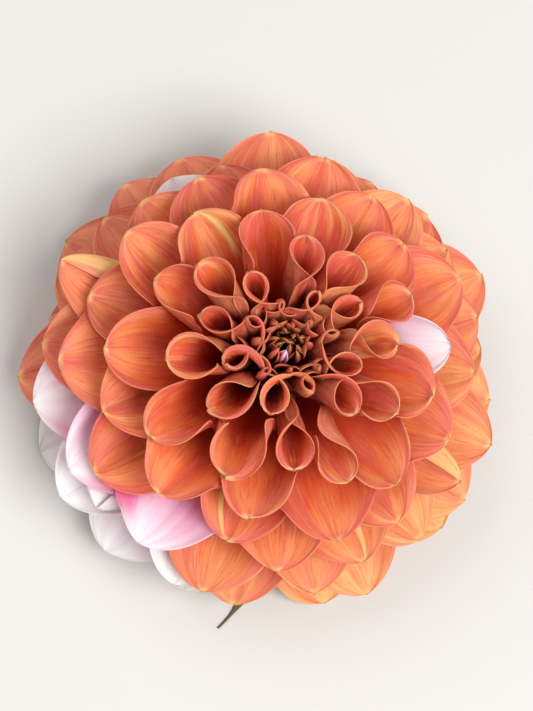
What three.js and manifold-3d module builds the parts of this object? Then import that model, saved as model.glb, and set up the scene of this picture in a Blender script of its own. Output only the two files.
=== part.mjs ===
// A cut dahlia bloom, face up on the surface it lies on.
//
// Millimetres, +Z up, the bloom's axis along +Z. About 120 ray florets stand
// out of one head in a golden-angle spiral: closed buds in the middle, then
// hooded scrolls that lean over them, then open tubes and cups, then broad
// petals, whose lowest row lies on the surface. The head sits on a short cut
// stem with two rows of bracts, and one narrow leaf lies flat under the petals.

import * as THREE from "three";
import { mergeVertices } from "three/addons/utils/BufferGeometryUtils.js";
import Module from "manifold-3d";

const wasm = await Module();
wasm.setup();

// ---------------------------------------------------------------- dimensions
const BLOOM_RADIUS = 51;          // to the tips of the widest petals
const EQUATOR_HEIGHT = 13;        // height of the widest petals' tips
const DOME_HEIGHT = 37;           // from there to the top of the bloom
const SKIRT_DROP = 110;           // how steeply the lowest rows come down
const REST_HEIGHT = -0.2;         // tips that reach the surface are pressed flat on it
const DIMPLE_DEPTH = 4;           // the closed middle lies this much deeper
const DIMPLE_ANGLE = 9;           // and this wide, degrees from the axis

const FLORET_COUNT = 122;
const BUD_COUNT = 11;             // florets up to here are unopened buds
const QUILL_COUNT = 34;           // up to here they are quills, which get the finer mesh
const GOLDEN_ANGLE = 137.50776;   // degrees from one floret to the next
const FIRST_AZIMUTH = 5;
const BUD_SHARE = 0.0003;         // of the dome's height that each bud takes
const GROWN_SHARE = 0.0125;       // and that each grown floret takes
const GROWS_FROM = 8;             // florets between these numbers take more and more
const GROWN_AT = 46;
const AZIMUTH_JITTER = 5;         // degrees either way
const TIP_JITTER = 1.8;           // mm either way
const TWIST_JITTER = 9;           // degrees either way
const SEED = 20233;

const RECEPTACLE_RADIUS = 10;     // the dome that the florets spring from
const RECEPTACLE_HEIGHT = 12;
const RECEPTACLE_BASE = 14;

const PETAL_WIDTH = 25;           // across a grown petal, unrolled
const WIDTH_SCALE = 22;           // the floret by which most of the growth in width is done
const WIDTH_POWER = 2.6;          // how late the growth in width sets in
const WIDEST_AT = 36;             // the cups round this floret are wider,
const WIDEST_OVER = 16;           // and those this far from it still are,
const WIDER = 0.12;               // by this share
const TUBE_SHARE = 0.16;          // width of the tube at a petal's foot
const WIDTH_JITTER = 0.08;        // share either way
const LEAN = 1.3;                 // how far the inner florets hook over the middle, radians
const LEANS_TO = 24;              // florets until that is over
const TIPS_CROSS = 1.6;           // and how far their tips reach over it, mm
const HOOK_SHORT = 0.25;          // share that the hooked florets' curves are tighter

const FOOT_ROLL = 160;            // half angle of the rolled foot, degrees
const FLAT_ROLL = 34;             // and of the broadest petals' arch
const ARCH_SCALE = 50;            // the floret whose blade is half unrolled
const ARCH_POWER = 6;             // how quickly the blades unroll round it
const ARCH_JITTER = 0.12;         // share either way
const FOLD = 0.5;                 // a few petals are folded this much more,
const FOLDS_FROM = 36;            // from this floret on,
const FOLDS_OVER = 0.86;          // where their draw is over this

// The ends of florets: where the end starts along the floret, and the powers of
// its outline. Hoods turn to tubes, and tubes to petals, between these florets.
const HOOD_END = { shoulder: 0.79, bluntness: 1.8, ogive: 0.85 };
const TUBE_END = { shoulder: 0.76, bluntness: 2.6, ogive: 0.55 };
const PETAL_END = { shoulder: 0.66, bluntness: 1.9, ogive: 0.6 };
const HOODS_TURN = [16, 27];
const TUBES_TURN = [20, 60];
const MOUTHS_OPEN = [10, 30];     // mouths flatten towards their tips between these

const PETAL_THICKNESS = 1.1;      // in the middle of the blade
const CLEARANCE = 0.3;            // between one solid and the next
const WELD = 0.02;                // joins merge what lies closer than this

const UNDERSIDE = 12;             // height of the flat underside of the head
const CORE_TOP = 41;
const CORE_OUTLINE = [            // the packed feet of the florets: radius, height
  [0, UNDERSIDE], [11, UNDERSIDE], [22, 12.5], [33, 16], [37, 21], [34, 30], [26, 37],
  [14, 40], [0, CORE_TOP],
];
const ROOT_DEPTH = 3.5;           // how far each floret is sunk in the core
const ROOT_SHARE = 0.3;           // width of a root against the blade above it
const ROOT_BELOW = 0.05;          // the least share of the length from a root to the shoulder
const SECTOR_INNER = 12;          // the white sector's share of the core
const SECTOR_TOP = 27;

// White florets: one sector of the outer rows, and two that stand alone.
const WHITE_FROM = 190;
const WHITE_TO = 253;
const WHITE_POLAR = 64;
const LONE_WHITE = [
  { floret: 55, size: 0.8, name: "floret_white_side" },
  { floret: 82, size: 1, name: "floret_white_back" },
];

const STEM_RADIUS = 3.4;
const COLLAR_RADIUS = 8.5;

const OUTER_BRACTS = 5;
const INNER_BRACTS = 8;
const BRACT_THICKNESS = 0.9;

const LEAF_THICKNESS = 0.8;
const LEAF_HALF_WIDTH = 4.5;
const LEAF_TIP = [-7.7, -55.4];   // from the stem's axis

const rad = THREE.MathUtils.degToRad;
const { clamp, lerp, radToDeg, smoothstep } = THREE.MathUtils;

// ------------------------------------------------------------------- helpers
// Seeded random numbers from -1 to 1, the same for the same floret every time.
function draw(floret, channel) {
  let x = Math.imul(floret * 32 + channel + SEED, 2654435761);
  x = Math.imul(x ^ (x >>> 15), 2246822519);
  x = Math.imul(x ^ (x >>> 13), 3266489917);
  return ((x ^ (x >>> 16)) >>> 0) / 2147483648 - 1;
}

// A geometry's closed surface as a solid that can be joined and cut.
function solidOf(geometry) {
  const bare = geometry.clone();
  bare.deleteAttribute("normal");
  bare.deleteAttribute("uv");
  const merged = mergeVertices(bare, 1e-4);
  return new wasm.Manifold(new wasm.Mesh({
    numProp: 3,
    vertProperties: new Float32Array(merged.attributes.position.array),
    triVerts: new Uint32Array(merged.index.array),
    tolerance: WELD,
  }));
}

const joined = (solids) => solids.reduce((sum, next) => sum.add(next));

// The outer skin of a solid. A hollow that joining has sealed is filled, and a
// scrap that a cut has left loose is dropped.
function skinOf(solid) {
  const { vertProperties, triVerts } = solid.getMesh();
  const owner = Array.from({ length: vertProperties.length / 3 }, (_, i) => i);
  const find = (i) => {
    while (owner[i] !== i) {
      owner[i] = owner[owner[i]];
      i = owner[i];
    }
    return i;
  };
  for (let t = 0; t < triVerts.length; t += 3) {
    owner[find(triVerts[t + 1])] = find(triVerts[t]);
    owner[find(triVerts[t + 2])] = find(triVerts[t]);
  }
  const pieces = new Map();
  for (let t = 0; t < triVerts.length; t += 3) {
    const piece = find(triVerts[t]);
    if (!pieces.has(piece)) pieces.set(piece, []);
    pieces.get(piece).push(triVerts[t], triVerts[t + 1], triVerts[t + 2]);
  }
  const largest = [...pieces.values()].sort((a, b) => b.length - a.length)[0];
  const geometry = new THREE.BufferGeometry();
  geometry.setAttribute("position", new THREE.BufferAttribute(vertProperties, 3));
  geometry.setIndex(largest);
  return geometry;
}

// A blade with a lens-shaped section: a thin closed solid that ends in a point.
// frameAt(s) gives its midrib's point and the directions across and up from it,
// halfWidthAt(s) its half width along the arc, and rollAt(s) its half angle.
function blade({ rows, columns, frameAt, halfWidthAt, rollAt, thickness }) {
  const points = [];
  const triangles = [];
  const outer = (j, i) => j * 2 * columns + i;
  const inner = (j, i) => (
    i === 0 || i === columns ? outer(j, i) : j * 2 * columns + 2 * columns - i
  );
  const face = (a, b, c) => {
    if (a !== b && b !== c && c !== a) triangles.push([a, b, c]);
  };

  for (const s of rows.slice(0, -1)) {
    const { point, side, up } = frameAt(s);
    const radius = halfWidthAt(s) / rollAt(s);
    const at = (i, offset) => {
      const angle = rollAt(s) * (2 * i / columns - 1);
      const lift = radius - (radius - offset) * Math.cos(angle);
      const reach = (radius - offset) * Math.sin(angle);
      return point.clone().addScaledVector(up, lift).addScaledVector(side, reach).toArray();
    };
    const half = (i) => thickness / 2 * Math.sqrt(1 - (2 * i / columns - 1) ** 2);
    for (let i = 0; i <= columns; i += 1) points.push(at(i, -half(i)));
    for (let i = columns - 1; i > 0; i -= 1) points.push(at(i, half(i)));
  }
  const tip = points.length;
  points.push(frameAt(rows.at(-1)).point.toArray());

  const last = rows.length - 2;
  for (let i = 0; i < columns; i += 1) {
    for (let j = 0; j < last; j += 1) {
      const [a, b, c, d] = [outer(j, i), outer(j, i + 1), outer(j + 1, i + 1), outer(j + 1, i)];
      const [e, f, g, h] = [inner(j, i), inner(j, i + 1), inner(j + 1, i + 1), inner(j + 1, i)];
      if (i < columns / 2) {
        face(a, b, c);
        face(a, c, d);
        face(e, g, f);
        face(e, h, g);
      } else {
        face(a, b, d);
        face(b, c, d);
        face(e, h, f);
        face(f, h, g);
      }
    }
    face(outer(last, i), outer(last, i + 1), tip);
    face(inner(last, i + 1), inner(last, i), tip);
    face(outer(0, i + 1), outer(0, i), inner(0, i));
    face(outer(0, i + 1), inner(0, i), inner(0, i + 1));
  }
  const geometry = new THREE.BufferGeometry();
  geometry.setAttribute("position", new THREE.Float32BufferAttribute(points.flat(), 3));
  geometry.setIndex(triangles.flat());
  return solidOf(geometry);
}

// ------------------------------------------------------------------- florets
// The angle from the bloom's axis to a floret: each takes its share of the dome.
function polarOf(floret) {
  const growing = GROWN_AT - GROWS_FROM;
  const u = clamp((floret - GROWS_FROM) / growing, 0, 1);
  const full = growing * (u ** 3 - u ** 4 / 2) + Math.max(floret - GROWN_AT, 0);
  return radToDeg(Math.acos(1 - BUD_SHARE * (floret + 0.5) - GROWN_SHARE * full));
}

// Everything that the spiral's rule settles about one floret.
function plan(floret) {
  const polar = polarOf(floret);
  const azimuth = FIRST_AZIMUTH + floret * GOLDEN_ANGLE + AZIMUTH_JITTER * draw(floret, 0);
  const size = LONE_WHITE.find((item) => item.floret === floret)?.size ?? 1;
  const grownWidth = 4 + (PETAL_WIDTH - 4) * (1 - Math.exp(-((floret / WIDTH_SCALE) ** WIDTH_POWER)));
  const wider = 1 + WIDER * Math.exp(-(((floret - WIDEST_AT) / WIDEST_OVER) ** 2));
  const width = grownWidth * wider * size;
  const drop = polar > 90 ? SKIRT_DROP : DOME_HEIGHT;
  const dimple = DIMPLE_DEPTH * Math.exp(-((polar / DIMPLE_ANGLE) ** 2));
  const grown = smoothstep(floret, 0, QUILL_COUNT);
  const leaning = Math.exp(-((floret / LEANS_TO) ** 4));
  const stray = TIP_JITTER * grown * (1 + 0.8 * smoothstep(polar, 50, 80));
  const height = EQUATOR_HEIGHT + drop * Math.cos(rad(polar)) - dimple;
  const radius = BLOOM_RADIUS * Math.sin(rad(polar)) * lerp(0.6, 1, size);
  const tip = new THREE.Vector2(
    radius - TIPS_CROSS * leaning + stray * draw(floret, 1),
    Math.max(height + stray * draw(floret, 2), REST_HEIGHT),
  );
  const base = 0.95 * polar;
  const foot = new THREE.Vector2(
    RECEPTACLE_RADIUS * Math.sin(rad(base)),
    RECEPTACLE_BASE + RECEPTACLE_HEIGHT * Math.cos(rad(base)),
  );
  const footAngle = rad(0.85 * polar);
  const tipAngle = rad(polar * (1.36 - 0.0025 * polar)) - LEAN * leaning;
  const reach = tip.distanceTo(foot) / 3 * (1 - HOOK_SHORT * leaning);
  const curve = new THREE.CubicBezierCurve(
    foot,
    new THREE.Vector2(Math.sin(footAngle), Math.cos(footAngle)).multiplyScalar(reach).add(foot),
    new THREE.Vector2(-Math.sin(tipAngle), -Math.cos(tipAngle)).multiplyScalar(reach).add(tip),
    tip,
  );
  const petalShare = smoothstep(floret, ...TUBES_TURN);
  const hoodShare = 1 - smoothstep(floret, ...HOODS_TURN);
  const end = (key) => (
    lerp(lerp(TUBE_END[key], PETAL_END[key], petalShare), HOOD_END[key], hoodShare)
  );
  const folded = floret > FOLDS_FROM && draw(floret, 19) > FOLDS_OVER ? FOLD : 0;
  const arch = FLAT_ROLL + (FOOT_ROLL - FLAT_ROLL) / (1 + (floret / ARCH_SCALE) ** ARCH_POWER);
  return {
    floret,
    polar,
    azimuth: THREE.MathUtils.euclideanModulo(azimuth, 360),
    curve,
    halfWidth: width / 2 * (1 + WIDTH_JITTER * draw(floret, 17)),
    roll: rad(Math.min(arch * (1 + ARCH_JITTER * draw(floret, 18) + folded), FOOT_ROLL)),
    shoulder: end("shoulder"),
    bluntness: end("bluntness"),
    ogive: end("ogive"),
    opened: smoothstep(floret, ...MOUTHS_OPEN),
    twist: rad(TWIST_JITTER * draw(floret, 3)) * grown,
  };
}

// Whether a point of radius x and height y is inside the core's outline.
function inCore({ x, y }) {
  return CORE_OUTLINE.slice(1).some(([r1, z1], k) => {
    const [r0, z0] = CORE_OUTLINE[k];
    return z1 > z0 && y >= z0 && y < z1 && x < lerp(r0, r1, (y - z0) / (z1 - z0));
  });
}

// Where a floret's midrib leaves the core, less the depth of its root.
function rootOf({ curve, shoulder }) {
  let s = 0.9;
  while (s > 0.02 && !inCore(curve.getPoint(s))) s -= 0.01;
  return clamp(s - ROOT_DEPTH / curve.getLength(), 0.02, shoulder - ROOT_BELOW);
}

// One floret as a solid, fatter all round by grow.
function petal(spec, grow = 0) {
  const { curve, azimuth, halfWidth, roll, shoulder, bluntness, ogive, opened, twist } = spec;
  const root = rootOf(spec) - grow / spec.curve.getLength();
  const frameAt = (s) => {
    const { x, y } = curve.getPoint(s);
    const along = curve.getTangent(s);
    const out = new THREE.Vector3(Math.cos(rad(azimuth)), Math.sin(rad(azimuth)), 0);
    const across = new THREE.Vector3(-out.y, out.x, 0);
    const rise = new THREE.Vector3(0, 0, along.x).addScaledVector(out, -along.y);
    const turn = twist * s;
    return {
      point: new THREE.Vector3(0, 0, y).addScaledVector(out, x),
      side: across.clone().multiplyScalar(Math.cos(turn)).addScaledVector(rise, Math.sin(turn)),
      up: rise.clone().multiplyScalar(Math.cos(turn)).addScaledVector(across, -Math.sin(turn)),
    };
  };
  const shapeAt = (s) => (s < shoulder
    ? lerp(TUBE_SHARE, 1, smoothstep(s, 0.1, shoulder) ** 0.8)
    : (1 - ((s - shoulder) / (1 - shoulder)) ** bluntness) ** ogive);
  const halfWidthAt = (s) => halfWidth * shapeAt(s) * (s > root ? 1 : ROOT_SHARE) + grow;
  const rollAt = (s) => (s < shoulder
    ? lerp(rad(FOOT_ROLL), roll, smoothstep(s, 0.1, shoulder))
    : roll * shapeAt(s) ** (0.9 * opened));
  const isQuill = spec.floret < QUILL_COUNT;
  const waist = isQuill ? [lerp(root, shoulder, 0.6)] : [];
  const rows = [root, ...waist, shoulder, lerp(shoulder, 1, 0.75), 1];
  const columns = isQuill ? 4 : 2;
  const thickness = Math.min(PETAL_THICKNESS, 0.8 * halfWidth / roll) + 2 * grow;
  return blade({ rows, columns, frameAt, halfWidthAt, rollAt, thickness });
}

// The room a floret takes with the clearance round it. Its margins are sharp,
// so a fatter copy alone wouldn't clear them: it is moved up and down as well.
const roomOf = (spec) => joined([
  petal(spec, CLEARANCE),
  petal(spec),
  petal(spec).translate([0, 0, CLEARANCE]),
  petal(spec).translate([0, 0, -CLEARANCE]),
]);

// An unopened floret in the middle: a slim closed drop.
function bud({ curve, azimuth, floret }, grow = 0) {
  const out = new THREE.Vector3(Math.cos(rad(azimuth)), Math.sin(rad(azimuth)), 0);
  const at = (s) => {
    const { x, y } = curve.getPoint(s);
    return new THREE.Vector3(0, 0, y).addScaledVector(out, x);
  };
  const [foot, tip] = [at(0.2), at(0.92)];
  const radius = 1.1 + 0.05 * floret + grow;
  const height = foot.distanceTo(tip) + grow;
  const outline = [[0, 0], [radius, 0.1], [radius, 0.9], [0, 1]]
    .map(([r, h]) => new THREE.Vector2(r, h * height));
  const geometry = new THREE.LatheGeometry(outline, 5);
  geometry.rotateX(Math.PI / 2);
  const turn = new THREE.Quaternion().setFromUnitVectors(
    new THREE.Vector3(0, 0, 1),
    tip.clone().sub(foot).normalize(),
  );
  geometry.applyQuaternion(turn);
  geometry.translate(foot.x, foot.y, foot.z);
  return solidOf(geometry);
}

// The packed feet of the florets, as one turned body.
const core = () => turned(CORE_OUTLINE, 12);

// A solid turned about the bloom's axis from an outline of radius and height.
function turned(outline, sides) {
  const points = outline.map(([r, z]) => new THREE.Vector2(r, z));
  const geometry = new THREE.LatheGeometry(points, sides);
  geometry.rotateX(Math.PI / 2);
  return solidOf(geometry);
}

// The share of the core under the white sector, fatter all round by grow.
function sector(grow = 0) {
  const shape = new THREE.Shape();
  const spread = radToDeg(grow / SECTOR_INNER);
  const from = rad(WHITE_FROM - spread);
  const to = rad(WHITE_TO + spread);
  shape.absarc(0, 0, BLOOM_RADIUS, from, to, false);
  shape.absarc(0, 0, SECTOR_INNER - grow, to, from, true);
  const geometry = new THREE.ExtrudeGeometry(shape, {
    depth: SECTOR_TOP + grow,
    bevelEnabled: false,
    curveSegments: 6,
  });
  return solidOf(geometry);
}

// ------------------------------------------------------- stem, bracts, leaf
// Bracts stand in a ring: each follows a curve of radius and height.
function bracts({ count, turn, path, halfWidth, roll, grow }) {
  const curve = new THREE.QuadraticBezierCurve(...path.map(([r, z]) => new THREE.Vector2(r, z)));
  return Array.from({ length: count }, (_, k) => {
    const azimuth = 2 * Math.PI * k / count + rad(turn);
    const out = new THREE.Vector3(Math.cos(azimuth), Math.sin(azimuth), 0);
    const frameAt = (s) => {
      const { x, y } = curve.getPoint(s);
      const along = curve.getTangent(s);
      return {
        point: new THREE.Vector3(0, 0, y).addScaledVector(out, x),
        side: new THREE.Vector3(-out.y, out.x, 0),
        up: new THREE.Vector3(0, 0, along.x).addScaledVector(out, -along.y),
      };
    };
    return blade({
      rows: [0, 0.5, 1],
      columns: 2,
      frameAt,
      halfWidthAt: (s) => halfWidth * (0.7 + 0.9 * s) * Math.sqrt(1 - s ** 2) + grow,
      rollAt: (s) => roll * Math.sqrt(1 - s ** 2) + 0.02,
      thickness: BRACT_THICKNESS + 2 * grow,
    });
  });
}

function outerBracts(grow) {
  return bracts({
    count: OUTER_BRACTS,
    turn: 20,
    path: [[5, 9.3], [14, 8.2], [17.5, 1.4]],
    halfWidth: 3,
    roll: 0.5,
    grow,
  });
}

function stem() {
  const stalk = turned([
    [0, 0], [STEM_RADIUS, 0], [STEM_RADIUS - 0.3, 4], [STEM_RADIUS + 0.4, 7],
    [COLLAR_RADIUS, 9.6], [COLLAR_RADIUS, UNDERSIDE - CLEARANCE], [0, UNDERSIDE - CLEARANCE],
  ], 12);
  return joined([stalk, ...outerBracts(0)]);
}

function innerBracts(grow = 0) {
  const collar = turned([
    [COLLAR_RADIUS + CLEARANCE, 10.4], [COLLAR_RADIUS + 2.2, 10.2],
    [COLLAR_RADIUS + 2.2, UNDERSIDE - CLEARANCE],
    [COLLAR_RADIUS + CLEARANCE, UNDERSIDE - CLEARANCE],
    [COLLAR_RADIUS + CLEARANCE, 10.4],
  ], 12);
  const ring = bracts({
    count: INNER_BRACTS,
    turn: 5,
    path: [[COLLAR_RADIUS + 1, 11], [18, 9.6], [26, 7.6]],
    halfWidth: 4,
    roll: 0.4,
    grow,
  });
  return joined([collar, ...ring]);
}

// The leaf lies flat: its outline follows a bent midrib, widest past the middle.
function leaf(grow = 0) {
  const midrib = new THREE.QuadraticBezierCurve(
    new THREE.Vector2(0.5, -STEM_RADIUS - CLEARANCE - 0.2),
    new THREE.Vector2(9, -40),
    new THREE.Vector2(...LEAF_TIP),
  );
  const steps = 10;
  const edge = (sign) => Array.from({ length: steps }, (_, k) => {
    const s = k / steps;
    const along = midrib.getTangent(s);
    const stalk = 0.9 * (1 - s);
    const lamina = LEAF_HALF_WIDTH * Math.sin(Math.PI * smoothstep(s, 0.2, 1) ** 0.7) ** 1.3;
    const reach = sign * (Math.max(stalk, lamina, 0.5) + grow);
    return midrib.getPoint(s).add(new THREE.Vector2(-along.y, along.x).multiplyScalar(reach));
  });
  const shape = new THREE.Shape([...edge(-1), midrib.getPoint(1), ...edge(1).reverse()]);
  const geometry = new THREE.ExtrudeGeometry(shape, {
    depth: LEAF_THICKNESS + grow,
    bevelEnabled: false,
  });
  return solidOf(geometry);
}

// ------------------------------------------------------------------ assembly
const specs = Array.from({ length: FLORET_COUNT }, (_, floret) => plan(floret));

const budSpecs = specs.slice(0, BUD_COUNT);
const loneSpecs = LONE_WHITE.map(({ floret }) => specs[floret]);
const isWhite = ({ azimuth, polar }) => (
  polar > WHITE_POLAR && azimuth > WHITE_FROM && azimuth < WHITE_TO
);
const grownSpecs = specs.slice(BUD_COUNT).filter((spec) => !loneSpecs.includes(spec));
const whiteSpecs = grownSpecs.filter(isWhite);
const orangeSpecs = grownSpecs.filter((spec) => !isWhite(spec));

const surface = solidOf(new THREE.BoxGeometry(200, 200, 20).translate(0, 0, -10));
const leafSpace = leaf(CLEARANCE);
const stemSolid = stem().subtract(joined([surface, leafSpace]));
const innerBractSolid = innerBracts().subtract(joined(outerBracts(CLEARANCE)));
const leafSolid = leaf();
const budPlug = (grow) => turned([
  [0, CORE_TOP - 6 - grow], [4 + grow, CORE_TOP - 6 - grow], [4 + grow, CORE_TOP - 1],
  [0, CORE_TOP - 1],
], 8);
const budSpace = joined([budPlug(CLEARANCE), ...budSpecs.map((spec) => bud(spec, CLEARANCE))]);

const belowSpace = joined([leafSpace, surface, innerBracts(CLEARANCE)]);
const loneSolids = loneSpecs.map((spec) => petal(spec).subtract(belowSpace));
const loneSpace = joined(loneSpecs.map(roomOf));
const buds = joined([budPlug(0), ...budSpecs.map((spec) => bud(spec))]).subtract(loneSpace);
const white = joined([core().intersect(sector()), ...whiteSpecs.map((spec) => petal(spec))])
  .subtract(joined([belowSpace, loneSpace]));
const whiteSpace = joined([sector(CLEARANCE), ...whiteSpecs.map(roomOf)]);
const orange = joined([core(), ...orangeSpecs.map((spec) => petal(spec))])
  .subtract(joined([belowSpace, loneSpace, whiteSpace, budSpace]));

const ORANGE = { color: 0xe8703c, roughness: 0.55 };
const WHITE = { color: 0xf2e6ee, roughness: 0.55 };
const pieces = [
  ["florets_orange", orange, ORANGE],
  ["florets_white", white, WHITE],
  ["buds", buds, { color: 0xc9a45a, roughness: 0.6 }],
  ["stem_and_outer_bracts", stemSolid, { color: 0x5f7d3a, roughness: 0.6 }],
  ["inner_bracts", innerBractSolid, { color: 0xb5b26a, roughness: 0.6 }],
  ["leaf", leafSolid, { color: 0x6b6038, roughness: 0.7 }],
  ...LONE_WHITE.map(({ name }, k) => [name, loneSolids[k], WHITE]),
];

const bloom = new THREE.Group();
for (const [name, solid, look] of pieces) {
  const mesh = new THREE.Mesh(skinOf(solid), new THREE.MeshStandardMaterial(look));
  mesh.name = name;
  bloom.add(mesh);
}

// The origin is under the middle of the whole part's box.
const box = new THREE.Box3().setFromObject(bloom);
const middle = box.getCenter(new THREE.Vector3());
bloom.position.set(-middle.x, -middle.y, 0);

export default bloom;
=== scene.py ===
"""The looks of a cut dahlia bloom, face up on a pale surface.

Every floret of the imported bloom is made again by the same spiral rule, as a
thin rolled petal with a lip, a pointed tip and veins. Lengths are millimetres
until a mesh is made, in a frame whose Z axis is the bloom's own axis.
"""

import math

import bpy
import numpy as np
from mathutils import Matrix, Vector


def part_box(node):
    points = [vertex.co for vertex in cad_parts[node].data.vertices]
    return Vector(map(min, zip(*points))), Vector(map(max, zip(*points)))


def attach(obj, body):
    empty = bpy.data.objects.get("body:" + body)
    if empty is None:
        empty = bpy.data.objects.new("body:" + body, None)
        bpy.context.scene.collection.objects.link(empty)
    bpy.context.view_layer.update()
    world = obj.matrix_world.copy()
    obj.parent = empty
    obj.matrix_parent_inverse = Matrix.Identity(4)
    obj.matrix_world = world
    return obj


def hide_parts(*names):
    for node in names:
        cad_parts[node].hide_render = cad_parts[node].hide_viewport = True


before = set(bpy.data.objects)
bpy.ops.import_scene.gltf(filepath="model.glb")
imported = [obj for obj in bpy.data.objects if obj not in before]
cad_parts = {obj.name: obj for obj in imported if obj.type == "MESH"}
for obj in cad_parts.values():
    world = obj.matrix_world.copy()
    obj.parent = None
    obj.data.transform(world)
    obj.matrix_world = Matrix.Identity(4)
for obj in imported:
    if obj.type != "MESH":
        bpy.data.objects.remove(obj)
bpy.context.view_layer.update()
MM = 0.001

# ------------------------------------------------------- the bloom, as packed
BLOOM_RADIUS = 51               # to the tips of the widest petals
EQUATOR_HEIGHT = 13             # height of the widest petals' tips
DOME_HEIGHT = 37                # from there to the top of the bloom
SKIRT_DROP = 110                # how steeply the lowest rows come down
REST_HEIGHT = -0.2              # the lowest tips reach down to here before they are pressed
DIMPLE_DEPTH = 4                # the closed middle lies this much deeper
DIMPLE_ANGLE = 9                # and this wide, degrees from the axis

FLORET_COUNT = 122
BUD_COUNT = 11                  # florets up to here are unopened buds
QUILL_COUNT = 34                # and up to here they are quills
GOLDEN_ANGLE = 137.50776        # degrees from one floret to the next
FIRST_AZIMUTH = 5
BUD_SHARE = 0.0003              # of the dome's height that each bud takes
GROWN_SHARE = 0.0125            # and that each grown floret takes
GROWS_FROM = 8                  # florets between these numbers take more and more
GROWN_AT = 46
AZIMUTH_JITTER = 5              # degrees either way
TIP_JITTER = 1.8                # mm either way
OUTER_JITTER = 0.8              # share more that the tips stray
OUTER_POLAR = (50, 80)          # between these degrees from the axis
TWIST_JITTER = 9                # degrees either way
SEED = 20233

RECEPTACLE_RADIUS = 10          # the dome that the florets spring from
RECEPTACLE_HEIGHT = 12
RECEPTACLE_BASE = 14
FOOT_POLAR = 0.95               # a foot's polar angle on it, against its tip's
FOOT_SLOPE = 0.85               # the slope that a floret leaves at, against its polar angle
TIP_SLOPE = 1.36                # and that its tip ends at,
TIP_SLOPE_LOSS = 0.0025         # less this for each degree of its polar angle

BUD_WIDTH = 4                   # across the first bud, unrolled
PETAL_WIDTH = 25                # and across a grown petal
WIDTH_SCALE = 22                # the floret by which most of the growth in width is done
WIDTH_POWER = 2.6               # how late the growth in width sets in
WIDEST_AT = 36                  # the cups round this floret are wider,
WIDEST_OVER = 16                # and those this far from it still are,
WIDER = 0.12                    # by this share
TUBE_SHARE = 0.16               # width of the tube at a petal's foot
TUBE_TO = 0.1                   # and the share of the length that it takes
TUBE_POWER = 0.8                # how quickly it widens to the shoulder
WIDTH_JITTER = 0.08             # share either way
LEAN = 1.3                      # how far the inner florets hook over the middle, radians
LEANS_TO = 24                   # florets until that is over
TIPS_CROSS = 1.6                # and how far their tips reach over it
HOOK_SHORT = 0.25               # share that the hooked florets' curves are tighter

FOOT_ROLL = 160                 # half angle of the rolled foot, degrees
FLAT_ROLL = 34                  # and of the broadest petals' arch
ARCH_SCALE = 50                 # the floret whose blade is half unrolled
ARCH_POWER = 6                  # how quickly the blades unroll round it
ARCH_JITTER = 0.12              # share either way
FOLD = 0.5                      # a few petals are folded this much more,
FOLDS_FROM = 36                 # from this floret on,
FOLDS_OVER = 0.86               # where their draw is over this

# The ends of florets: where the end starts along the floret, and the powers of
# its outline. Hoods turn to tubes, and tubes to petals, between these florets.
HOOD_END = {"shoulder": 0.79, "bluntness": 1.8, "ogive": 0.85}
TUBE_END = {"shoulder": 0.76, "bluntness": 2.6, "ogive": 0.55}
PETAL_END = {"shoulder": 0.66, "bluntness": 1.9, "ogive": 0.6}
HOODS_TURN = (16, 27)
TUBES_TURN = (20, 60)
MOUTHS_OPEN = (10, 30)          # mouths flatten towards their tips between these,
MOUTH_POWER = 0.9               # as this power of the end's width

COLLAR_RADIUS = 8.5             # of the head's underside, which the inner bracts leave from
LEAF_HALF_WIDTH = 4.5
LEAF_FOOT = (0.5, -3.9)         # the leaf's bent midrib, from the stem's axis
LEAF_BEND = (9, -40)
LEAF_TIP = (-7.7, -55.4)

WHITE_FROM = 190                # the white sector's azimuths,
WHITE_TO = 253
WHITE_POLAR = 64                # beyond this polar angle
LONE_SIDE = 55                  # the white florets that stand alone
LONE_SIDE_SIZE = 0.8
SMALL_REACH = 0.6               # share of the radius that a floret of no size would reach
LONE_BACK = 82

# --------------------------------------------------- what only the looks have
SCROLL = 35                     # degrees more that the closed florets' margins overlap
SCROLLS_TO = (26, 44)
TIGHT = 50                      # and the innermost ones' still more
TIGHT_TO = (16, 30)
SPIRAL = 0.32                   # how much tighter a scroll's inner margin is,
SPIRALS_FROM = (1.9, 2.7)       # more and more between these half angles, radians
CHANNEL = 14                    # the half angle where a grown petal lies under its elders
CHANNELS = (36, 60)
WAIST = 0.45                    # where the foot's tube has opened to the channel
BEAK = 0.02                     # how much of a petal's end is its small point

WALL = 0.38                     # thickness of a petal in the middle
MARGIN_THINNER = 0.45           # share less at its margins
TIP_THINNER = 0.5               # and at its tip,
TIP_FROM = 0.9                  # from this share of its length
NARROW = 1.4                    # where half its width is under this, it thins in proportion
BLADE_START = 0.06              # petals are made from this share of their length
BLADE_END = 0.9995              # to this one, just short of the point where they have no width
PRESSED_FROM = 0.6              # from this height down, a petal is pressed flatter to stay above 0
NESTS = (24, 40)                # florets between these lie more and more under their elders

KEEL = (3.2, 1.2)               # how much sharper the section bends along the midrib,
KEEL_SOFTENS = (18, 50)         # on the florets between these,
KEEL_WIDTH = 0.12               # and how far across, as a share of the half width
LIP = 24                        # degrees that the margins turn back,
LIP_AT = 34                     # most on the florets round this one,
LIP_OVER = 22
LIP_FROM = 0.84                 # from this share of the half width on
TURNED_BY = 150                 # degrees that a folded margin turns,
TURNED_ACROSS = (0.42, 0.6)     # between these shares of the half width
TURNED_ALONG = (0.4, 0.62)      # and of the length

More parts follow.
